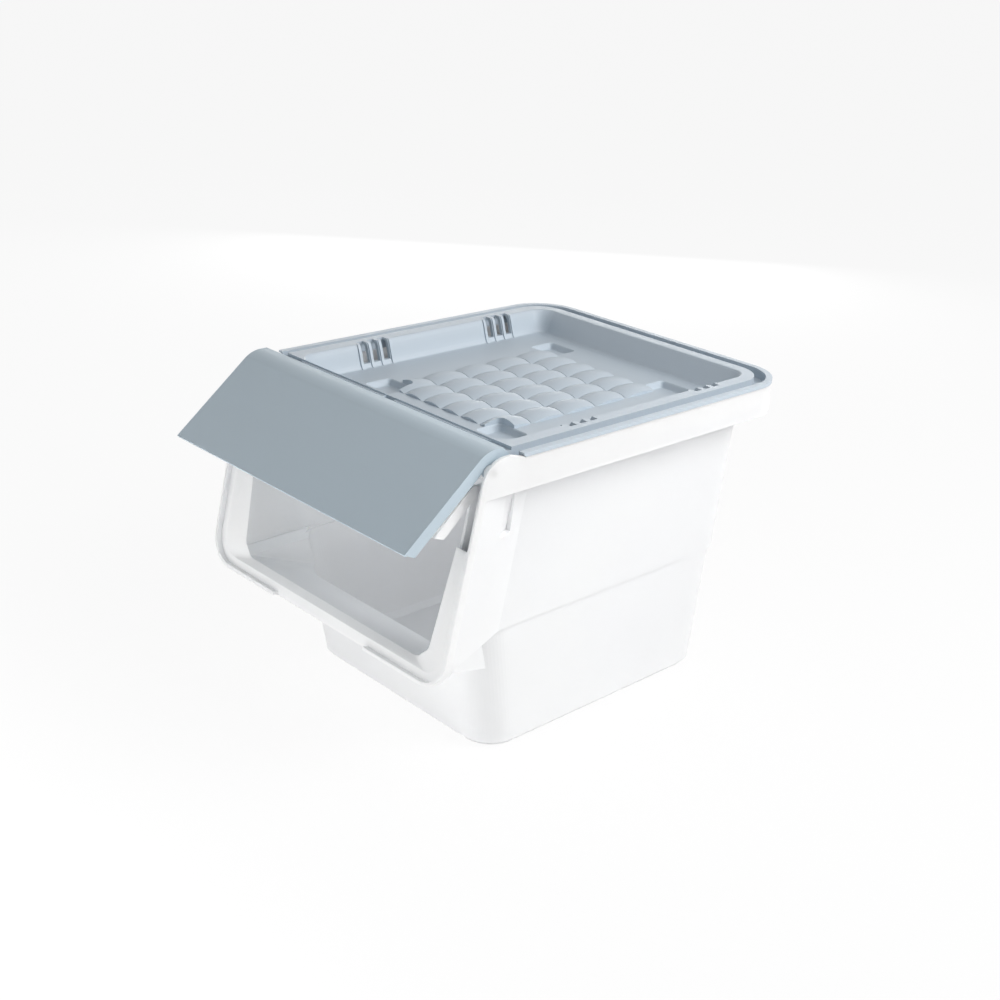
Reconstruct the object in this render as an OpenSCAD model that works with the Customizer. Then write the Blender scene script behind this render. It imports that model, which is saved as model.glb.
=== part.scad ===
// Stackable storage bin with a raked front mouth, a lift-off tray lid
// and a narrow front door that folds down over the upper half of the mouth.
// X runs across the bin, Y from the mouth to the back, Z up from the floor.
// The origin is the middle of the base.

/* [Tub] */
// Width of the base
base_w = 216; // [214:0.5:218]
// Depth of the base, front to back
base_d = 250; // [246:1:252]
// Corner radius of the base, seen from above
base_r = 28.5; // [24:0.5:32]
// Rounding inset where the walls meet the base
foot_round = 4.5; // [2:0.5:7]
// Height over which the base rounding runs
foot_rise = 5.3; // [3:0.1:8]
// Wall thickness of the tub
wall_t = 2.5; // [2:0.1:3]
// Thickness of the base
floor_t = 3; // [2.5:0.1:5]
// Outward slope of the side and back walls, in degrees
wall_draft = 2.6; // [2.3:0.1:2.8]
// Forward lean of the lower front wall, in degrees
front_lean = 11.1; // [9:0.1:12]
// Height of the stacking step in the walls
step_z = 109.2; // [107:0.2:112]
// How far the walls step outward there
step_out = 1.8; // [1:0.1:2.2]

/* [Rim band] */
// Width over the rim band
rim_w = 280; // [278:0.5:284]
// Distance from the middle of the base back to the rim's rear face
rim_back = 158.7; // [157:0.1:162]
// Corner radius of the rim at the back
rim_r = 38; // [34:0.5:42]
// Height of the top of the rim band
rim_top = 252.7; // [252:0.1:253.5]
// Height of the rim band
band_h = 23.8; // [22:0.2:26]
// Thickness of the rim skirt
skirt_t = 2.5; // [2:0.1:2.8]
// Thickness of the shelf inside the rim
shelf_t = 2.5; // [2:0.1:3]
// Thickness of the cross rail under the lid's front edge
rail_t = 2.5; // [2:0.1:3]

/* [Mouth] */
// Backward rake of the mouth plane, in degrees
mouth_rake = 11.6; // [11.4:0.05:11.8]
// Distance from the middle of the base forward to the foot of the mouth plane
mouth_foot = 223.2; // [222.6:0.1:223.8]
// Height of the mouth flange's lower edge, measured along the mouth plane
flange_low = 95.4; // [94:0.2:96.5]
// Corner radius of the flange at the bottom
flange_r = 24; // [20:0.5:28]
// Thickness of the flange skin at the sides
flange_t = 2; // [1.6:0.1:2.3]
// Depth of the seat behind the flange edge
seat_d = 4.4; // [4.1:0.1:4.7]
// Width of the seat for the door's side flanges
seat_w = 6.3; // [6:0.1:7]
// Height of the seat's lower edge above the flange's lower edge
seat_up = 2.6; // [2:0.2:3.6]
// Height of the lower lip's crest above the flange's lower edge
crest_up = 8.6; // [7.6:0.2:9.6]
// Depth of the opening's inner edge behind the mouth plane
edge_d = 9.5; // [9:0.1:10.5]
// Distance of the opening's inner edge inside the rim band, at the step
edge_top_in = 21.6; // [21:0.1:22]
// The same distance at the top of the opening
edge_rim_in = 22; // [21.8:0.1:22.4]
// The same distance at the lower lip
edge_low_in = 28.4; // [27:0.2:31]
// Height of the opening's inner edge at the lip above the flange's lower edge
edge_up = 13.2; // [11.6:0.2:14.6]
// Corner radius of the opening's inner edge
edge_r = 15; // [12:0.5:17]
// Distance of the step in the mouth frame below the rim's top, along the mouth plane
jamb_l = 59; // [58.4:0.2:60.4]
// Fall of the top of that step toward the inside, in degrees
jamb_fall = 19.5; // [18:0.1:20]
// Depth of the side pockets above the step
jamb_d = 21.5; // [21:0.1:24]
// Depth at which the tub's side walls end above the step
cheek_d = 12; // [11:0.2:15]
// Radius of the side walls' rounded top front corners
ear_r = 20; // [19.5:0.1:20.5]
// Height of the side walls beside the hinge above the rim band
ear_up = 4; // [3.7:0.1:4.5]
// Thickness of the cheeks between the opening and the side pockets
cheek_t = 2.2; // [1.8:0.1:2.4]
// Depth of the flange behind which the side flares begin
flare_d = 6; // [5.6:0.1:6.4]
// Distance behind the mouth's foot at which the flares end, at the height of the step
flare_low_l = 65.2; // [63.2:0.5:68.2]
// The same distance at the underside of the rim band
flare_top_l = 113.2; // [109.2:0.5:115.2]
// Height along the mouth plane from which the flares are hollow
hollow_low = 125; // [122:1:132]
// Depth to which that hollow reaches behind the mouth plane
hollow_d = 36; // [32:1:38]
// Depth of the frame cut away above the step in front of the pockets
pocket_d = 6; // [5.6:0.1:6.6]
// Gap between the door's arms and the outer walls of the side pockets
pocket_gap = 2.2; // [1.8:0.1:2.4]
// Distance of the side walls' raised ends in front of the lid's rounded front corners
ear_set = 7; // [6.6:0.1:7.4]
// Length of the sloping rear part of those raised ends
ear_slope_l = 12; // [11:0.2:13]
// Fall of that rear part, in degrees
ear_fall = 16; // [15:0.2:16.4]
// Height at which the sloping mouth floor meets the front wall
chin_z = 75; // [70:1:80]
// Inset of the mouth floor's sides from the tub's walls, below the step
chin_in = 6; // [4:0.5:8]
// Half length of the raised middle of the flange's lower edge
notch_x = 55; // [50:1:60]
// Height of that raise
notch_h = 3; // [2:0.1:3.4]

/* [Side grips] */
// Length of the shallow grip recess under the rim band
grip_l = 14.5; // [12:0.5:16]
// Height of the grip recess
grip_h = 37; // [32:1:40]
// Depth of the grip recess
grip_d = 1.2; // [0.8:0.1:1.6]
// Distance of the recess's front edge behind the hinge axis
grip_back = 20.6; // [18.6:0.5:23.6]

/* [Lid] */
// Thickness of the lid's sheet
lid_t = 2.4; // [2:0.1:2.6]
// Thickness of the lid's outer lip
lip_t = 3; // [2.6:0.1:3.2]
// Width of the lid's outer lip
lip_w = 5.1; // [4.8:0.1:5.4]
// Gap between the lid and the rim skirt round it
lid_play = 0.4; // [0.3:0.05:0.6]
// Gap between the lid's lip and the side walls' raised front ends
ear_gap = 0.5; // [0.4:0.05:0.8]
// Slope of the lip's cut front ends, in degrees
lip_slope = 35; // [31:1:38]
// Setback of the gutter's open front ends from the lid's front edge
gutter_set = 1.5; // [1.2:0.1:3]
// Height of the gutter floor above the skirt's top, negative is below
gutter_z = -4.3; // [-5:0.1:-3.5]
// Distance of the raised inner rim inside the rim band, at the sides
ring_in = 12.5; // [12:0.1:13.5]
// The same distance at the back
ring_rear = 15.4; // [14.7:0.1:16.7]
// Corner radius of the inner rim
ring_r = 26; // [25:0.5:28]
// Height of the inner rim above the lip
ring_up = 0.8; // [0.4:0.1:1.2]
// Distance of the tray recess inside the rim band, at the sides
tray_in = 22.8; // [22.4:0.1:23.6]
// The same distance at the back
tray_rear = 24.4; // [23.7:0.1:25.7]
// Width of the ledge between the lid's front edge and the tray recess
ledge_w = 6.5; // [6:0.1:7.4]
// Corner radius of the tray recess at the top
tray_r = 16; // [14:0.5:18]
// Width over which the tray's walls curve down
cove_w = 9.2; // [8.5:0.1:9.8]
// Depth of the tray floor below the rim band's top
tray_deep = 15.5; // [14.7:0.2:16.3]
// Height of the front ledge below the inner rim
ledge_drop = 2.5; // [2:0.1:3]
// Width of the finger notch in the front ledge
tab_w = 12; // [9:0.5:15]
// Depth of the finger notch
tab_d = 6; // [5:0.2:7]

/* [Tray pattern] */
// Pitch of the pillows across the bin
pad_px = 21.4; // [20.6:0.1:21.6]
// Pitch of the pillows front to back
pad_py = 34.4; // [33.8:0.1:34.8]
// Height of the pillows
pad_h = 4.8; // [4:0.1:5]
// Crown radius of the pillows across the bin
pad_rx = 24; // [22:0.5:26]
// Crown radius of the pillows front to back
pad_ry = 56; // [54:0.5:58]
// Width of the crease between pillows
crease_w = 0.5; // [0.4:0.1:0.8]
// Distance of the pattern's middle in front of the tray's middle
pad_y = 1.3; // [-3.6:0.1:1.3]
// Distance of the corner wells from the middle plane
well_x = 64.5; // [62:0.5:67]
// Distance of the front wells' middle behind the tray recess's front edge
well_front = 51.5; // [49:0.5:53.5]
// Distance of the rear wells' middle in front of the tray recess's rear edge
well_rear = 38.3; // [36.3:0.5:40.3]
// Width of the corner wells
well_w = 31; // [28:0.5:33]
// Length of the corner wells, front to back
well_l = 26; // [24:0.5:28]
// Depth of the corner wells
well_d = 5; // [4:0.1:5.4]
// Width over which the wells' walls slope
well_slope = 3; // [2:0.1:3.4]
// Corner radius of the wells
well_r = 4; // [3.6:0.1:5]

/* [Vents] */
// Distance of the front vent group behind the tray recess's front edge
vent_front = 76.5; // [73.5:0.5:79.5]
// Distance of the rear vent group in front of the tray recess's rear edge
vent_rear = 58.3; // [54.3:0.5:61.3]
// Pitch of the vent slots
vent_p = 10.6; // [10:0.1:11]
// Width of each vent slot
vent_w = 6.4; // [5.6:0.1:6.6]
// Height of the lower end of the slots above the tray floor
vent_up = 3.6; // [3:0.1:5]
// Width of the ribs beside the slots
rib_w = 2.6; // [2:0.1:3]
// Height of the ribs above the tray wall
rib_h = 1.1; // [0.8:0.1:1.4]

/* [Door] */
// Level distance of the hinge axis behind the mouth plane
hinge_in = 7.857; // [7.657:0.05:8.057]
// Distance of the hinge axis below the rim band's top
hinge_drop = 5.5; // [5.3:0.05:5.7]
// Slope of the open door below the horizontal, in degrees
door_tilt = 39.3; // [39:0.1:39.6]
// Gap between the door's side flanges and the rim skirt
door_gap = 2.7; // [2.2:0.1:3]
// Length of the door from the hinge to its free edge
door_l = 80.4; // [78:0.2:82]
// Thickness of the door
door_t = 2; // [1.6:0.1:2.4]
// Height of the door's outer face above the hinge axis
door_up = 12.35; // [12.1:0.05:12.6]
// Depth of the door's side flanges
door_flange = 8.9; // [8.6:0.1:9.1]
// Setback of the flanges' lower corner at the free edge
door_nose = 4.2; // [2:0.1:5]
// Height of the door's level rear leg above the hinge axis
leg_up = 14.4; // [14.2:0.1:14.6]
// Outer radius of the bend over the hinge
bend_r = 23.5; // [23:0.1:24]
// Length of the door's rear leg behind the hinge axis
heel_l = 19.7; // [19.5:0.1:20.1]
// Height of the door's rear edge below the top of the bend
heel_drop = 7.6; // [7.4:0.1:7.7]
// Gap between the open door's heel and the lid
heel_gap = 0.9; // [0.6:0.1:1.2]
// Radius of the lugs round the hinge pins
lug_r = 4.6; // [4.2:0.1:4.9]
// Diameter of the hinge pins
pin_dia = 4.4; // [4:0.1:4.6]
// Running clearance round the hinge pins, on the radius
pin_play = 0.06; // [0.03:0.01:0.09]
// End gap of the hinge pins in their bores
pin_gap = 0.5; // [0.4:0.1:0.9]
// Radius of the bearing bosses
boss_r = 4.9; // [4.4:0.1:5]
// Side gap between the lugs and the bearing bosses
boss_gap = 0.6; // [0.4:0.1:0.8]
// Material left outside the pin's end
pin_cap = 1; // [0.8:0.1:1.1]

/* [Door arms] */
// Distance of the arms' outer face inside the door flanges' outer face
arm_in = 4.8; // [4:0.1:5.4]
// Width of the arms
arm_w = 5.5; // [4:0.1:6]
// Depth of the arms' bar
arm_h = 8.3; // [7.4:0.1:8.6]
// Distance of the bar's upper edge below the hinge axis line
arm_drop = 2.4; // [2.2:0.1:3]
// Distance of the bar's rounded end from the hinge axis
arm_start = 10.2; // [10:0.1:12]
// Length of the bar
arm_l = 46; // [44:0.5:46.5]
// Tilt of the bar against the door, in degrees
arm_tilt = 2.4; // [1:0.1:2.6]
// Setback of the bar's lower corner at its free end
arm_nose = 4.2; // [3.6:0.1:5]
// Thickness of the web that joins the bar to the door
web_t = 2; // [1.6:0.1:2.4]
// Length of that web
web_l = 34; // [28:1:36]

/* [Hidden] */
$fn = 96;
corner_fn = 64;
slice_t = 0.02;
over = 1;
sink = 0.05;
ease = 0.025;
base_back = base_d / 2;
front_run = tan(front_lean);
side_run = tan(wall_draft);
band_z = rim_top - band_h;
rake_s = sin(mouth_rake);
rake_c = cos(mouth_rake);
seat_x = rim_w / 2 - flange_t;
crest_x = seat_x - seat_w;
skin_x = rim_w / 2 - skirt_t;
seat_low = flange_low + seat_up;
crest_low = flange_low + crest_up;
edge_low = flange_low + edge_up;
edge_top_x = rim_w / 2 - edge_top_in;
edge_rim_x = rim_w / 2 - edge_rim_in;
edge_low_x = rim_w / 2 - edge_low_in;
jamb_low = rim_top / rake_c - jamb_l;
flare_low = mouth_foot - flare_low_l;
flare_top = mouth_foot - flare_top_l;
hinge_z = rim_top - hinge_drop;
hinge_y = mouth_foot - hinge_z * rake_s / rake_c - hinge_in;
ledge_front = hinge_y - heel_l - heel_gap;
lid_top = rim_top + lip_t;
ring_z = lid_top + ring_up;
ledge_z = ring_z - ledge_drop;
gutter_floor = rim_top + gutter_z;
ring_x = rim_w / 2 - ring_in;
ring_back = rim_back - ring_rear;
tray_x = rim_w / 2 - tray_in;
tray_back = rim_back - tray_rear;
tray_front = ledge_front - ledge_w;
tray_mid = (tray_back - tray_front) / 2;
tray_z = rim_top - tray_deep;
lip_x = rim_w / 2 - lip_w;
lip_back = rim_back - lip_w;
door_x = skin_x - door_gap;
boss_x = door_x + boss_gap;
bore_end = rim_w / 2 - pin_cap;
pin_l = bore_end - pin_gap - door_x;
arm_x = door_x - arm_in;
bend_tan = bend_r * tan(door_tilt / 2);
face_s = (door_up * cos(door_tilt) - leg_up) / sin(door_tilt);
bend_y = -face_s * cos(door_tilt) - door_up * sin(door_tilt) + bend_tan;
bend_z = leg_up - bend_r;
cheek_x = edge_top_x + cheek_t;
edge_lean = atan((edge_top_x - edge_low_x) / (jamb_low - edge_low));
pin_r = pin_dia / 2;
ear_top = rim_top + ear_up;
flange_top = ear_top / rake_c;
ear_z = ear_top - ear_r;
ear_y = ear_z * rake_s / rake_c + ear_r / rake_c - mouth_foot;
ear_back = ledge_front - ear_set;
ear_flat = ear_back + ear_slope_l;
ear_end = ear_top - ear_slope_l * tan(ear_fall);
pocket_x = arm_x + pocket_gap;
hollow_top = jamb_low - cheek_d * tan(jamb_fall);
hollow_front = cheek_d + pocket_gap;
rail_y = ledge_front - lid_play;
rail_top = ledge_z - lid_t - lid_play;
rail_low = gutter_floor - lid_t - lid_play;
rail_x = ring_x - lid_t - lid_play;
grip_y = hinge_y - grip_back;
half_turn = 180;
quarter_turn = 90;
bend_n = 12;
ear_n = 16;
cove_n = 10;
well_n = 4;
pad_nx = 6;
pad_ny = 5;
gutter_front = ledge_front - gutter_set;
web_s = arm_start + arm_h;
vent_at = [vent_front - tray_front, tray_back - vent_rear];
bore_r = pin_r + pin_play;

shell_white = [0.95, 0.955, 0.965];
lid_blue = [0.66, 0.72, 0.77];

function half_at(z) = base_w / 2 + side_run * z;
function back_at(z) = base_back + side_run * z;
function front_at(z) = base_back + front_run * z;
function side_at(z) = half_at(z) + step_out;

// Where the flares begin behind the flange, where they end, and their half width
function flare_start(z) = (flare_d + z * rake_s) / rake_c - mouth_foot;
function flare_end(z) = (flare_low - flare_top) * (z - step_z) / (band_z - step_z) - flare_low;
function flare_x(y, z) = side_at(z) + (rim_w / 2 - side_at(z)) *
  (flare_end(z) - y) / (flare_end(z) - flare_start(z));

// A block with four upright round corners
module round_block(hw, y0, y1, r, z0, z1) {
  for (s = [-1, 1]) for (y = [y0 + r, y1 - r])
    translate([s * (hw - r), y, z0]) cylinder(r = r, h = z1 - z0);
  translate([-hw, y0 + r, z0]) cube([2 * hw, y1 - y0 - 2 * r, z1 - z0]);
  translate([r - hw, y0, z0]) cube([2 * (hw - r), y1 - y0, z1 - z0]);
}

// A block with round corners at the back only
module back_block(hw, y0, y1, r, z0, z1) {
  for (s = [-1, 1])
    translate([s * (hw - r), y1 - r, z0]) cylinder(r = r, h = z1 - z0);
  translate([-hw, y0, z0]) cube([2 * hw, y1 - y0 - r, z1 - z0]);
  translate([r - hw, y0, z0]) cube([2 * (hw - r), y1 - y0, z1 - z0]);
}

// A thin level slice of the tub, for joining into drafted walls
module tub_slice(z, inset, out) {
  round_block(half_at(z) + out - inset, inset - out - front_at(min(z, step_z)),
    back_at(z) + out - inset, base_r - inset, z, z + slice_t, $fn = corner_fn);
}

// The mouth plane: X across, Y the depth behind it, Z up along it
module raked() {
  translate([0, -mouth_foot, 0]) rotate([-mouth_rake, 0, 0]) children();
}

// A slab parallel to the mouth plane with two round lower corners
module mouth_slab(hw, low, top, r, d0, d1) {
  for (s = [-1, 1])
    translate([s * (hw - r), d0, low + r]) rotate([-90, 0, 0]) cylinder(r = r, h = d1 - d0);
  translate([-hw, d0, low + r]) cube([2 * hw, d1 - d0, top - low - r]);
  translate([r - hw, d0, low]) cube([2 * (hw - r), d1 - d0, top - low]);
}

// A thin slab whose sides lean outward as they rise
module lean_slice(low_x, low, top_x, mid, rim_x, top, r, d) {
  mouth_slab(low_x, low, low + 2 * r, r, d, d + slice_t, $fn = corner_fn);
  translate([-top_x, d, mid]) cube([2 * top_x, slice_t, slice_t]);
  translate([-rim_x, d, top]) cube([2 * rim_x, slice_t, slice_t]);
}

// A thin level slice of the upper tub, with square front corners
module upper_slice(z, front) {
  back_block(side_at(z), -front, back_at(z) + step_out, base_r, z, z + slice_t,
    $fn = corner_fn);
}

// Two bars across the bin behind the mouth, where the side flares end
module flare_slice(inset, y0, y1, z0, z1) {
  for (p = [[y0, z0], [y1, z1]]) translate([inset - side_at(p[1]), p[0], p[1]])
    cube([2 * (side_at(p[1]) - inset), slice_t, slice_t]);
}

// Room for the mouth's sides: wide above the step, narrow beside the floor below it
module flare_region(inset, up) {
  x0 = half_at(chin_z) - chin_in - inset;
  z1 = step_z + up;
  rotate([90, 0, 0]) linear_extrude(mouth_foot) polygon([[-x0, 0], [x0, 0],
    [x0, z1 - chin_in], [x0 + chin_in, z1], [rim_w, z1], [rim_w, 2 * rim_top],
    [-rim_w, 2 * rim_top], [-rim_w, z1], [-x0 - chin_in, z1], [-x0, z1 - chin_in]]);
}

module body_outside() {
  hull() {
    tub_slice(0, foot_round, 0);
    tub_slice(foot_rise, 0, 0);
    tub_slice(step_z, 0, 0);
  }
  hull() {
    upper_slice(step_z, flare_low + over);
    upper_slice(band_z, flare_top + over);
  }
  intersection() {
    hull() {
      raked() mouth_slab(rim_w / 2, flange_low + flange_t, flange_top, flange_r, flare_d,
        flare_d + slice_t, $fn = corner_fn);
      intersection() {
        tub_slice(chin_z - wall_t, chin_in, 0);
        translate([-rim_w / 2, -front_at(chin_z), 0]) cube([rim_w, base_r, rim_top]);
      }
      flare_slice(sink, -flare_low, -flare_top, step_z, band_z);
    }
    union() {
      flare_region(0, -sink);
      raked() translate([-rim_w, 0, 0]) cube([2 * rim_w, edge_d + wall_t, 2 * rim_top]);
    }
  }
  raked() mouth_slab(rim_w / 2, flange_low, flange_top, flange_r, 0, flare_d + sink);
  intersection() {
    back_block(rim_w / 2, -mouth_foot, rim_back, rim_r, band_z, rim_top);
    raked() translate([-rim_w / 2, 0, 0]) cube([rim_w, 2 * mouth_foot, 2 * rim_top]);
  }
  ears();
}

// The raised side walls beside the hinge
module ears() {
  intersection() {
    translate([-rim_w / 2, -mouth_foot, band_z])
      cube([rim_w, mouth_foot - ear_back, ear_top - band_z]);
    raked() translate([-rim_w / 2, 0, 0]) cube([rim_w, 2 * mouth_foot, 2 * rim_top]);
    translate([-rim_w / 2, -ear_flat, ear_top]) rotate([-ear_fall, 0, 0])
      translate([0, -mouth_foot, -rim_top]) cube([rim_w, 2 * mouth_foot, rim_top]);
  }
}

// Rounds the top front corners of the side walls
module ear_rounding() {
  side_plate(-rim_w, rim_w) polygon(concat(
    [for (i = [0:ear_n]) let(a = quarter_turn + (quarter_turn - mouth_rake) * i / ear_n)
      [ear_y + ear_r * cos(a), ear_z + ear_r * sin(a)]],
    [[ear_y - 2 * ear_r, ear_z], [ear_y - 2 * ear_r, ear_z + 2 * ear_r],
      [ear_y, ear_z + 2 * ear_r]]));
}

// Open space inside the tub, from the base up to the shelf
module body_inside() {
  hull() {
    tub_slice(floor_t, wall_t + foot_round, 0);
    tub_slice(floor_t + foot_rise, wall_t, 0);
    tub_slice(step_z, wall_t, 0);
  }
  hull() {
    tub_slice(step_z - slice_t, wall_t, step_out);
    tub_slice(band_z + shelf_t, wall_t, step_out);
  }
  intersection() {
    hull() {
      raked() lean_slice(edge_low_x + ease, edge_low - ease, edge_top_x + ease, jamb_low,
        edge_rim_x + ease, flange_top, edge_r, edge_d - sink);
      intersection() {
        tub_slice(chin_z, chin_in + wall_t, 0);
        translate([-rim_w / 2, -front_at(chin_z), 0]) cube([rim_w, base_r, rim_top]);
      }
      flare_slice(wall_t + sink, base_r - base_back, base_r - base_back, step_z,
        band_z + shelf_t);
    }
    flare_region(wall_t, wall_t);
  }
}

// The seat behind the flange edge and the slope into the opening
module mouth_cut() {
  raked() mouth_slab(seat_x, seat_low, 2 * rim_top, flange_r - flange_t, -over, seat_d);
  raked() hull() {
    lean_slice(crest_x, crest_low, crest_x, jamb_low, crest_x, flange_top,
      flange_r - seat_w, seat_d - slice_t);
    lean_slice(edge_low_x, edge_low, edge_top_x, jamb_low, edge_rim_x, flange_top,
      edge_r, edge_d);
  }
}

// Side pockets above the step in the mouth frame
module pockets() {
  intersection() {
    raked() translate([0, 0, jamb_low]) rotate([-jamb_fall, 0, 0])
      translate([-rim_w / 2, -mouth_foot, 0]) cube([rim_w, 2 * mouth_foot, rim_top]);
    raked() {
      translate([-seat_x, -mouth_foot, 0])
        cube([2 * seat_x, mouth_foot + pocket_d, 2 * rim_top]);
      translate([-cheek_x - sink, -mouth_foot, 0])
        cube([2 * (cheek_x + sink), mouth_foot + cheek_d, 2 * rim_top]);
      for (s = [-1, 1]) scale([s, 1, 1]) translate([cheek_x, -mouth_foot, 0])
        cube([pocket_x - cheek_x, mouth_foot + jamb_d, 2 * rim_top]);
    }
  }
}

// Space inside the flares, open to the pockets above
module flare_hollow() {
  z = hollow_low * rake_c;
  run = (flare_x(flare_start(z), z) - flare_x(flare_end(z), z)) * rake_c /
    (flare_end(z) - flare_start(z));
  x0 = rim_w / 2 - wall_t / cos(atan(run)) - run * (hollow_front - flare_d);
  raked() for (s = [-1, 1]) scale([s, 1, 1]) intersection() {
    translate([0, 0, hollow_low]) linear_extrude(hollow_top - hollow_low)
      polygon([[edge_low_x, hollow_front], [x0, hollow_front],
        [x0 - run * (hollow_d - hollow_front), hollow_d], [edge_low_x, hollow_d]]);
    translate([edge_low_x + wall_t, 0, edge_low]) rotate([0, edge_lean, 0])
      translate([0, 0, -rim_top]) cube([rim_w / 2, mouth_foot, 2 * rim_top]);
  }
}

// Room for the lid inside the rim band
module band_inside() {
  back_block(skin_x, -ledge_front - wall_t, rim_back - skirt_t, rim_r - skirt_t,
    band_z + shelf_t, 2 * rim_top);
  translate([-skin_x, -mouth_foot, band_z + shelf_t])
    cube([2 * skin_x, mouth_foot - ledge_front, rim_top]);
}

// The cross rail under the lid's front edge, lower beside the lid's skirts
module front_rail() {
  translate([-skin_x - skirt_t / 2, -rail_y, band_z])
    cube([2 * skin_x + skirt_t, rail_t, rail_low - band_z]);
  translate([-rail_x, -rail_y, band_z]) cube([2 * rail_x, rail_t, rail_top - band_z]);
}

// Shallow recesses in the flares, their floors parallel to them
module grips() {
  lean = atan((flare_x(-grip_y, band_z) - flare_x(-grip_y, band_z - grip_h)) / grip_h);
  turn = atan((flare_x(-grip_y, band_z) - flare_x(grip_l - grip_y, band_z)) / grip_l);
  for (s = [-1, 1]) scale([s, 1, 1])
    translate([flare_x(-grip_y, band_z) - grip_d, -grip_y, band_z]) rotate([0, lean, turn])
      translate([0, 0, -grip_h]) cube([rim_w / 2, grip_l, grip_h]);
}

module bosses() {
  for (s = [-1, 1]) translate([s * (boss_x + rim_w / 2 - over) / 2, -hinge_y, hinge_z])
    rotate([0, 90, 0]) cylinder(r = boss_r, h = rim_w / 2 - over - boss_x, center = true);
}

module bores() {
  for (s = [-1, 1])
    translate([s * (boss_x - over + bore_end) / 2, -hinge_y, hinge_z])
      rotate([0, 90, 0]) cylinder(r = bore_r, h = bore_end - boss_x + over, center = true);
}

module body_tub() color(shell_white) {
  difference() {
    union() {
      difference() {
        body_outside();
        body_inside();
        mouth_cut();
        pockets();
        flare_hollow();
        band_inside();
        grips();
        raked() translate([-notch_x, -over, 0]) cube([2 * notch_x, seat_d + over,
          flange_low + notch_h]);
      }
      front_rail();
      bosses();
    }
    ear_rounding();
    bores();
  }
}

// Outline of a wall that curves from a top edge down to a floor
function cove(run, z0, z1, n) =
  [for (i = [0:n]) [run * i / n, z1 - (z1 - z0) * (1 - cos(half_turn * i / n)) / 2]];

// A block whose upright walls follow that curve all the way round
module cove_block(hw, y0, y1, r, run, z0, z1, top, n = cove_n) {
  c = cove(run, z0, z1, n);
  m = [for (i = [0:n]) c[n - i]];
  for (s = [-1, 1]) for (y = [y0 + r, y1 - r]) translate([s * (hw - r), y, 0])
    rotate_extrude() polygon(concat([[0, top], [r, top]],
      [for (p = c) [r - p[0], p[1]]], [[0, z0]]));
  translate([0, y1 - r, 0]) rotate([90, 0, 0]) linear_extrude(y1 - y0 - 2 * r)
    polygon(concat([[-hw, top], [hw, top]], [for (p = c) [hw - p[0], p[1]]],
      [for (p = m) [p[0] - hw, p[1]]]));
  translate([r - hw, 0, 0]) rotate([90, 0, 90]) linear_extrude(2 * (hw - r))
    polygon(concat([[y0, top], [y1, top]], [for (p = c) [y1 - p[0], p[1]]],
      [for (p = m) [y0 + p[0], p[1]]]));
}

// The outer lip, its front ends cut to clear the side walls' raised ends
module lid_lip() {
  intersection() {
    back_block(rim_w / 2, -ledge_front, rim_back, rim_r, rim_top, lid_top);
    translate([-rim_w / 2, -ear_back, ear_end]) rotate([-lip_slope, 0, 0])
      translate([0, -rim_top, ear_gap]) cube([rim_w, 3 * rim_top, 2 * rim_top]);
  }
}

// The outer lip and the gutter inside it
module lid_rim() {
  difference() {
    union() {
      lid_lip();
      back_block(skin_x - lid_play, -gutter_front, rim_back - skirt_t - lid_play,
        rim_r - skirt_t - lid_play, gutter_floor - lid_t, lid_top);
    }
    back_block(lip_x, -gutter_front - over, lip_back, rim_r - lip_w, gutter_floor,
      lid_top + over);
  }
}

module lid_shell() {
  difference() {
    union() {
      lid_rim();
      back_block(ring_x, -ledge_front, ring_back, ring_r, gutter_floor - lid_t, ring_z);
    }
    back_block(ring_x - lid_t, -ledge_front - over, ring_back - lid_t, ring_r - lid_t,
      gutter_floor - lid_t - over, ring_z - lid_t);
    translate([-rim_w / 2, -ledge_front - over, ledge_z - lid_t])
      cube([rim_w, ledge_front - tray_front + over, rim_top]);
  }
  translate([-ring_x, -ledge_front, ledge_z - lid_t])
    cube([2 * ring_x, ledge_front - tray_front + lid_t, lid_t]);
  cove_block(tray_x + lid_t, -tray_front - lid_t, tray_back + lid_t, tray_r + lid_t,
    cove_w, tray_z - lid_t, ring_z - lid_t, ring_z - lid_t / 2);
}

module wells(grow, drop, top) {
  for (s = [-1, 1]) for (y = [well_front - tray_front, tray_back - well_rear])
    translate([s * well_x, y, 0])
    cove_block(well_w / 2 + grow, -well_l / 2 - grow, well_l / 2 + grow, well_r + grow,
      well_slope, tray_z - well_d - drop, tray_z - drop, top, well_n);
}

module pads() {
  for (i = [0:pad_nx - 1]) for (j = [0:pad_ny - 1])
    translate([(i - (pad_nx - 1) / 2) * pad_px, tray_mid - pad_y +
      (j - (pad_ny - 1) / 2) * pad_py, tray_z]) intersection() {
      translate([0, 0, pad_h - pad_ry]) rotate([0, 90, 0]) rotate_extrude()
        translate([pad_ry - pad_rx, 0]) circle(r = pad_rx);
      translate([(crease_w - pad_px) / 2, (crease_w - pad_py) / 2, -lid_t / 2])
        cube([pad_px - crease_w, pad_py - crease_w, pad_h + lid_t]);
    }
}

module vent_slots() {
  for (s = [-1, 1]) for (y = vent_at) for (k = [-1:1])
    translate([s * (tray_x - cove_w / 2) - cove_w, y + k * vent_p - vent_w / 2, tray_z + vent_up])
      cube([2 * cove_w, vent_w, rim_top]);
}

module vent_ribs() {
  c = cove(cove_w, tray_z, ring_z, cove_n);
  m = [for (i = [0:cove_n]) c[cove_n - i]];
  for (s = [-1, 1]) scale([s, 1, 1]) for (y = vent_at) for (k = [0:3])
    translate([0, y + (k - 1) * vent_p - (vent_p - rib_w) / 2, 0]) rotate([90, 0, 0])
      linear_extrude(rib_w) polygon(concat([for (p = c) [tray_x + over - p[0], p[1]]],
        [for (p = m) [tray_x - rib_h - p[0], p[1]]]));
}

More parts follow.
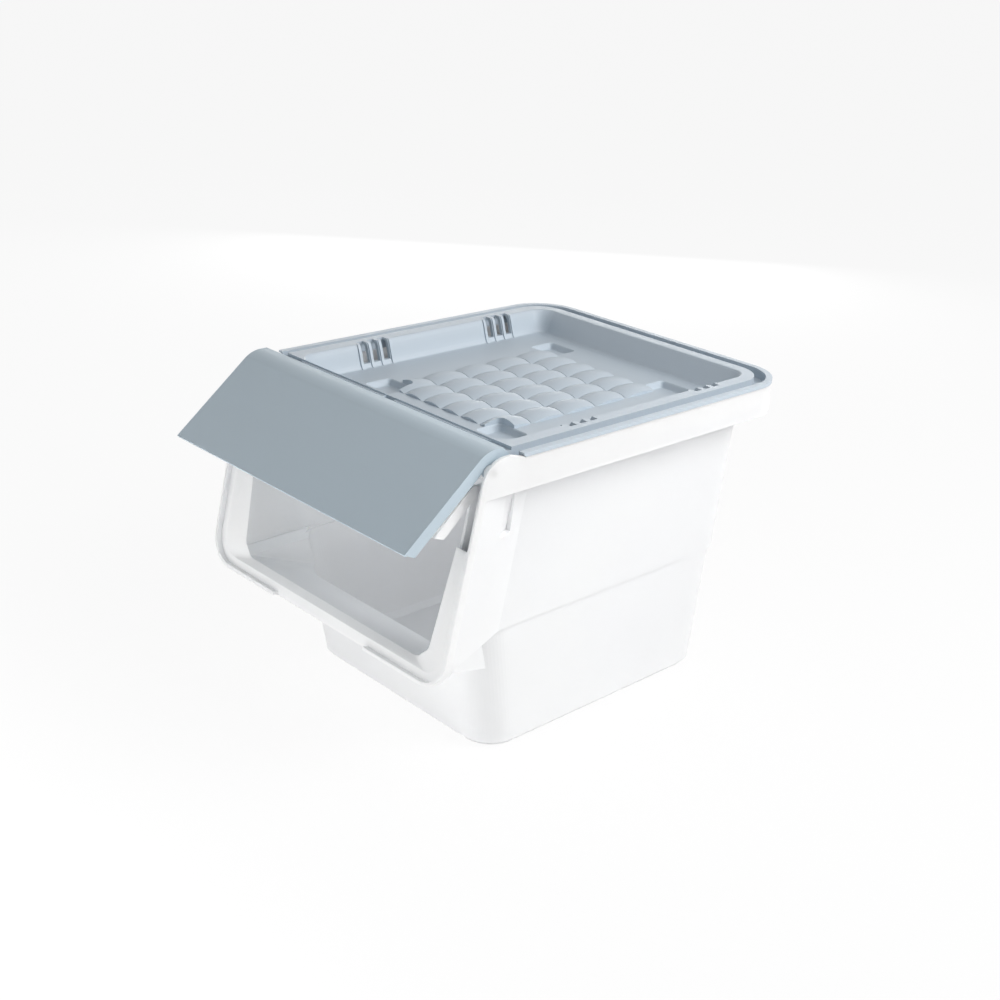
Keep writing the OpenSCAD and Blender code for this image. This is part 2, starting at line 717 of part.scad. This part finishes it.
module lid_tray() color(lid_blue) {
  difference() {
    union() {
      lid_shell();
      wells(lid_t, lid_t, tray_z - lid_t / 2);
    }
    cove_block(tray_x, -tray_front, tray_back, tray_r, cove_w, tray_z, ring_z, ring_z + over);
    wells(0, 0, tray_z + pad_h + over);
    vent_slots();
    translate([-tab_w / 2, -tray_front - tab_d + over, 0]) cube([tab_w, tab_d, 2 * rim_top]);
  }
  difference() {
    pads();
    wells(0, 0, tray_z + pad_h + over);
  }
  vent_ribs();
}

// Sets a side view, drawn with Y across and Z up, through the bin
module side_plate(x0, x1) {
  translate([x0, 0, 0]) rotate([90, 0, 90]) linear_extrude(x1 - x0) children();
}

// A point of the door, from its distance to the hinge along and above the plate
function on_door(along, above) = [-along * cos(door_tilt) - above * sin(door_tilt),
  above * cos(door_tilt) - along * sin(door_tilt)];

// Points round the bend, from the plate over to the level rear leg
function bend_arc(r) = [for (i = [0:bend_n]) let(a = quarter_turn + door_tilt * (1 - i / bend_n))
  [bend_y + r * cos(a), bend_z + r * sin(a)]];

function backward(p) = [for (i = [1:len(p)]) p[len(p) - i]];

module door_sheet() {
  cut = door_t * sqrt(2);
  polygon(concat([on_door(door_l, door_up)], bend_arc(bend_r),
    [[heel_l - heel_drop, leg_up], [heel_l, leg_up - heel_drop],
      [heel_l - cut, leg_up - heel_drop], [heel_l - heel_drop + door_t - cut, leg_up - door_t]],
    backward(bend_arc(bend_r - door_t)), [on_door(door_l, door_up - door_t)]));
}

module door_side() {
  polygon(concat([on_door(door_l, door_up)], bend_arc(bend_r),
    [[heel_l - heel_drop, leg_up], [heel_l, leg_up - heel_drop]],
    backward(bend_arc(bend_r - door_flange)),
    [on_door(door_l - door_nose, door_up - door_flange)]));
}

module door_panel() color(lid_blue) translate([0, -hinge_y, hinge_z]) {
  side_plate(-door_x, door_x) door_sheet();
  for (s = [-1, 1]) {
    side_plate(s * (door_x - door_t / 2) - door_t / 2, s * (door_x - door_t / 2) + door_t / 2)
      door_side();
    side_plate(s * (door_x - door_t / 2) - door_t / 2, s * (door_x - door_t / 2) + door_t / 2)
      circle(r = lug_r);
    translate([s * (door_x + pin_l / 2 - door_t / 4), 0, 0]) rotate([0, 90, 0])
      cylinder(r = pin_r, h = pin_l + door_t / 2, center = true);
  }
}

module arm() {
  translate([0, -hinge_y, hinge_z]) {
    side_plate(arm_x - arm_w, arm_x) rotate(door_tilt)
      translate([-arm_start - arm_h / 2, -arm_drop - arm_h / 2]) rotate(arm_tilt) {
        circle(r = arm_h / 2);
        polygon([[0, arm_h / 2], [arm_h / 2 - arm_l, arm_h / 2],
          [arm_h / 2 - arm_l + arm_nose, -arm_h / 2], [0, -arm_h / 2]]);
      }
    side_plate(arm_x - arm_w, arm_x - arm_w + web_t) rotate(door_tilt)
      polygon([[-web_s, door_up - door_t], [-web_s - web_l, door_up - door_t],
        [-web_s - web_l, -arm_drop - arm_h / 2], [-web_s, -arm_drop - arm_h / 2]]);
  }
}

module arm_left() color(shell_white) scale([-1, 1, 1]) arm();

module arm_right() color(shell_white) arm();

body_tub();
lid_tray();
door_panel();
arm_left();
arm_right();
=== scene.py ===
import bpy
from mathutils import Matrix, Vector

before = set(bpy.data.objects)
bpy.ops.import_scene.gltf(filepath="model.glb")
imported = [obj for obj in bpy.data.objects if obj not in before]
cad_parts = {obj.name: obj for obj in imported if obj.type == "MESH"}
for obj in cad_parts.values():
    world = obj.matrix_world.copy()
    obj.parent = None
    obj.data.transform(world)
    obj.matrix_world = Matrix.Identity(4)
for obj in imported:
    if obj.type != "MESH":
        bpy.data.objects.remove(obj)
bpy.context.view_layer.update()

# Base colours, as linear RGB
BLUE = (0.53, 0.60, 0.665)
DOOR_BLUE = (0.505, 0.60, 0.67)
WHITE = (0.905, 0.91, 0.92)
PURE_WHITE = (1.0, 1.0, 1.0, 1.0)
PAPER = (0.9, 0.9, 0.9, 1.0)

# Plastic: index of refraction, specular level, roughness with its spread
# either way, strength of the grain, light into the white wall and its reach
PLASTIC_IOR = 1.49
SHEEN = 0.45
WHITE_ROUGH = 0.40
BLUE_ROUGH = 0.42
ROUGH_DOWN = 0.04
ROUGH_UP = 0.05
WHITE_GRAIN = 0.10
BLUE_GRAIN = 0.14
WHITE_GLOW = 1.0
WALL_SCATTER = 0.003

# Noises: scale per metre, detail
CLOUD = (7.0, 3.0)
SCUFF = (60.0, 4.0)
FINE = (2600.0, 2.0)
WAVE = (16.0, 1.0)
CLOUD_LOW = 0.97
CLOUD_HIGH = 1.03
FINE_DEPTH = 0.0002
WAVE_DEPTH = 0.0015
WAVE_STRENGTH = 0.15

# Painted highlight on convex edges: pointiness where it begins and ends, share, gain
# and lift
EDGE_FROM = 0.52
EDGE_TO = 0.62
EDGE_SHARE = 0.5
EDGE_GAIN = 1.08
EDGE_LIFT = 0.02

# Studio: light of the world, share of the floor that is seen as plain white,
# half width of the floor and its drop below the part
WORLD_LIGHT = 0.11
FLOOR_SHARE = 0.92
REACH = 20.0
FLOOR_DROP = 0.0002

# Lamps: name, place, aim, width, height, watts, hidden from the camera.
# inner_soft stands in for light through the thin white walls of the tub, and
# mouth_soft for light from the floor that reaches in under the open door.
LAMPS = (
    ("key_high", (1.05, 0.60, 1.00), (0.05, 0.0, 0.2), 0.9, 0.7, 15, False),
    ("top_right", (0.42, -0.02, 0.85), (0.08, 0.0, 0.25), 0.35, 0.35, 1.5, False),
    ("front_fill", (-0.85, -1.55, 0.55), (0.0, -0.1, 0.15), 1.0, 0.8, 6.4, False),
    ("floor_front", (0.15, -0.80, 0.19), (0.15, -0.801, 0.0), 1.5, 0.5, 8.6, True),
    ("back_card", (-1.3, 1.3, 0.95), (0.0, 0.0, 0.25), 1.8, 1.0, 1.5, False),
    ("back_low", (-1.1, 1.1, 0.25), (0.0, 0.0, 0.12), 1.0, 0.35, 8.0, True),
    ("inner_soft", (0.0, 0.0, 0.224), (0.0, 0.001, 0.0), 0.18, 0.18, 0.071, True),
    ("mouth_soft", (0.02, -0.155, 0.21), (-0.06, -0.043, 0.085), 0.04, 0.02, 0.039,
     True),
)

# Camera fitted to the photo: its axes and place, lens and sensor in mm
CAMERA_RIGHT = Vector((0.6826, 0.7289, 0.0528))
CAMERA_BACK = Vector((0.6603, -0.6461, 0.3829))
CAMERA_AT = Vector((0.7710, -0.7751, 0.5930))
LENS = 52.016
SENSOR = 36.0
NEAR = 0.05
FAR = 50.0


def node(tree, kind, x=0, y=0, **values):
    """Add a shader node, setting its properties and sockets by name."""
    made = tree.nodes.new(kind)
    made.location = (x, y)
    for name, value in values.items():
        if name in made.inputs:
            made.inputs[name].default_value = value
        else:
            setattr(made, name, value)
    return made


def plastic(name, base, rough, grain, glow=0.0):
    """Moulded polypropylene: fine spark-eroded grain, slight flow marks and
    paler convex edges as a painted highlight. glow is the share of light that passes
    into the wall."""
    mat = bpy.data.materials.new(name)
    mat.use_nodes = True
    tree = mat.node_tree
    tree.nodes.clear()
    link = tree.links.new
    out = node(tree, "ShaderNodeOutputMaterial", 900)
    bsdf = node(tree, "ShaderNodeBsdfPrincipled", 600)
    bsdf.inputs["IOR"].default_value = PLASTIC_IOR
    bsdf.inputs["Specular IOR Level"].default_value = SHEEN
    bsdf.inputs["Subsurface Weight"].default_value = glow
    bsdf.inputs["Subsurface Radius"].default_value = (1.0, 1.0, 1.0)
    bsdf.inputs["Subsurface Scale"].default_value = WALL_SCATTER
    link(bsdf.outputs["BSDF"], out.inputs["Surface"])
    where = node(tree, "ShaderNodeTexCoord", -1200)

    def noise(kind, y):
        scale, detail = kind
        made = node(tree, "ShaderNodeTexNoise", -900, y, Scale=scale, Detail=detail)
        link(where.outputs["Object"], made.inputs["Vector"])
        return made.outputs["Fac"]

    def span(source, low, high, y, x=-600):
        made = node(tree, "ShaderNodeMapRange", x, y)
        made.inputs["To Min"].default_value = low
        made.inputs["To Max"].default_value = high
        link(source, made.inputs["Value"])
        return made

    # Colour: a faint cloud over the base colour, paler on convex edges as a painted
    # highlight
    tone = span(noise(CLOUD, 300), CLOUD_LOW, CLOUD_HIGH, 300)
    edge = node(tree, "ShaderNodeNewGeometry", -900, 600)
    highlight_mask = span(edge.outputs["Pointiness"], 0.0, 1.0, 600)
    highlight_mask.inputs["From Min"].default_value = EDGE_FROM
    highlight_mask.inputs["From Max"].default_value = EDGE_TO
    tint = node(tree, "ShaderNodeMix", -300, 300, data_type="RGBA",
                blend_type="MULTIPLY")
    tint.inputs[0].default_value = 1.0
    tint.inputs[6].default_value = (*base, 1.0)
    link(tone.outputs[0], tint.inputs[7])
    highlight_mix = node(tree, "ShaderNodeMix", 0, 300, data_type="RGBA", blend_type="MIX")
    # convex edges take this paler colour as a painted highlight
    highlight_colour = (min(1.0, c * EDGE_GAIN + EDGE_LIFT) for c in base)
    highlight_mix.inputs[7].default_value = (*highlight_colour, 1.0)
    highlight_share = node(tree, "ShaderNodeMath", -300, 600, operation="MULTIPLY")
    highlight_share.inputs[1].default_value = EDGE_SHARE
    link(highlight_mask.outputs[0], highlight_share.inputs[0])
    link(highlight_share.outputs[0], highlight_mix.inputs[0])
    link(tint.outputs[2], highlight_mix.inputs[6])
    link(highlight_mix.outputs[2], bsdf.inputs["Base Color"])

    # Gloss, varied by light scuffs
    gloss = span(noise(SCUFF, 0), rough - ROUGH_DOWN, rough + ROUGH_UP, 0)
    link(gloss.outputs[0], bsdf.inputs["Roughness"])

    # Relief: the fine grain over slow waves
    fine = noise(FINE, -300)
    wave = noise(WAVE, -600)
    grainy = node(tree, "ShaderNodeBump", 300, -300, Strength=grain,
                  Distance=FINE_DEPTH)
    wavy = node(tree, "ShaderNodeBump", 0, -600, Strength=WAVE_STRENGTH,
                Distance=WAVE_DEPTH)
    link(wave, wavy.inputs["Height"])
    link(fine, grainy.inputs["Height"])
    link(wavy.outputs["Normal"], grainy.inputs["Normal"])
    link(grainy.outputs["Normal"], bsdf.inputs["Normal"])
    return mat


white = plastic("white_polypropylene", WHITE, WHITE_ROUGH, WHITE_GRAIN, WHITE_GLOW)
blue = plastic("blue_grey_polypropylene", BLUE, BLUE_ROUGH, BLUE_GRAIN)
door_blue = plastic("door_polypropylene", DOOR_BLUE, BLUE_ROUGH, BLUE_GRAIN)

for name, mat in (
    ("body_tub", white),
    ("arm_left", white),
    ("arm_right", white),
    ("lid_tray", blue),
    ("door_panel", door_blue),
):
    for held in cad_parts[name].material_slots:
        held.material = mat


def lamp(name, at, to, width, height, power, hidden):
    """Add a soft rectangular lamp at one point, aimed at another."""
    data = bpy.data.lights.new(name, "AREA")
    data.shape = "RECTANGLE"
    data.size = width
    data.size_y = height
    data.energy = power
    obj = bpy.data.objects.new(name, data)
    obj.location = at
    aim = Vector(to) - Vector(at)
    obj.rotation_euler = aim.to_track_quat("-Z", "Y").to_euler()
    obj.visible_camera = not hidden
    bpy.context.scene.collection.objects.link(obj)


for row in LAMPS:
    lamp(*row)


def background_rays(tree, x, y):
    """The rays that see the pale studio: camera, glossy and transmission rays."""
    path = node(tree, "ShaderNodeLightPath", x, y)
    seen = path.outputs["Is Camera Ray"]
    for step, ray in enumerate(("Is Glossy Ray", "Is Transmission Ray"), start=1):
        either = node(tree, "ShaderNodeMath", x + 200 * step, y, operation="MAXIMUM")
        tree.links.new(seen, either.inputs[0])
        tree.links.new(path.outputs[ray], either.inputs[1])
        seen = either.outputs[0]
    return seen


world = bpy.data.worlds.new("studio")
bpy.context.scene.world = world
world.use_nodes = True
wt = world.node_tree
wt.nodes.clear()
w_out = node(wt, "ShaderNodeOutputWorld", 600)
w_light = node(wt, "ShaderNodeBackground", 0, 0, Color=PURE_WHITE,
               Strength=WORLD_LIGHT)
w_seen = node(wt, "ShaderNodeBackground", 0, -200, Color=PURE_WHITE, Strength=1.0)
w_mix = node(wt, "ShaderNodeMixShader", 300)
wt.links.new(background_rays(wt, -600, 300), w_mix.inputs[0])
wt.links.new(w_light.outputs[0], w_mix.inputs[1])
wt.links.new(w_seen.outputs[0], w_mix.inputs[2])
wt.links.new(w_mix.outputs[0], w_out.inputs["Surface"])

floor_mesh = bpy.data.meshes.new("studio_floor")
floor_mesh.from_pydata(
    [(-REACH, -REACH, 0), (REACH, -REACH, 0), (REACH, REACH, 0), (-REACH, REACH, 0)],
    [], [(0, 1, 2, 3)])
floor = bpy.data.objects.new("studio_floor", floor_mesh)
floor.location.z = -FLOOR_DROP
bpy.context.scene.collection.objects.link(floor)
paper = bpy.data.materials.new("studio_paper")
paper.use_nodes = True
pt = paper.node_tree
pt.nodes.clear()
p_out = node(pt, "ShaderNodeOutputMaterial", 600)
p_matte = node(pt, "ShaderNodeBsdfDiffuse", 0, 0, Color=PAPER)
p_glow = node(pt, "ShaderNodeEmission", 0, -200, Strength=1.0)
p_share = node(pt, "ShaderNodeMath", -300, 200, operation="MULTIPLY")
p_share.inputs[1].default_value = FLOOR_SHARE
p_mix = node(pt, "ShaderNodeMixShader", 300)
pt.links.new(background_rays(pt, -900, 300), p_share.inputs[0])
pt.links.new(p_share.outputs[0], p_mix.inputs[0])
pt.links.new(p_matte.outputs[0], p_mix.inputs[1])
pt.links.new(p_glow.outputs[0], p_mix.inputs[2])
pt.links.new(p_mix.outputs[0], p_out.inputs["Surface"])
floor_mesh.materials.append(paper)

cam_data = bpy.data.cameras.new("photo_view")
cam_data.sensor_fit = "HORIZONTAL"
cam_data.sensor_width = SENSOR
cam_data.lens = LENS
cam_data.clip_start = NEAR
cam_data.clip_end = FAR
camera = bpy.data.objects.new("photo_view", cam_data)
back = CAMERA_BACK.normalized()
up = back.cross(CAMERA_RIGHT.normalized()).normalized()
right = up.cross(back).normalized()
pose = Matrix((right, up, back)).transposed().to_4x4()
pose.translation = CAMERA_AT
camera.matrix_world = pose
bpy.context.scene.collection.objects.link(camera)
bpy.context.scene.camera = camera
bpy.context.scene.view_settings.view_transform = "Standard"
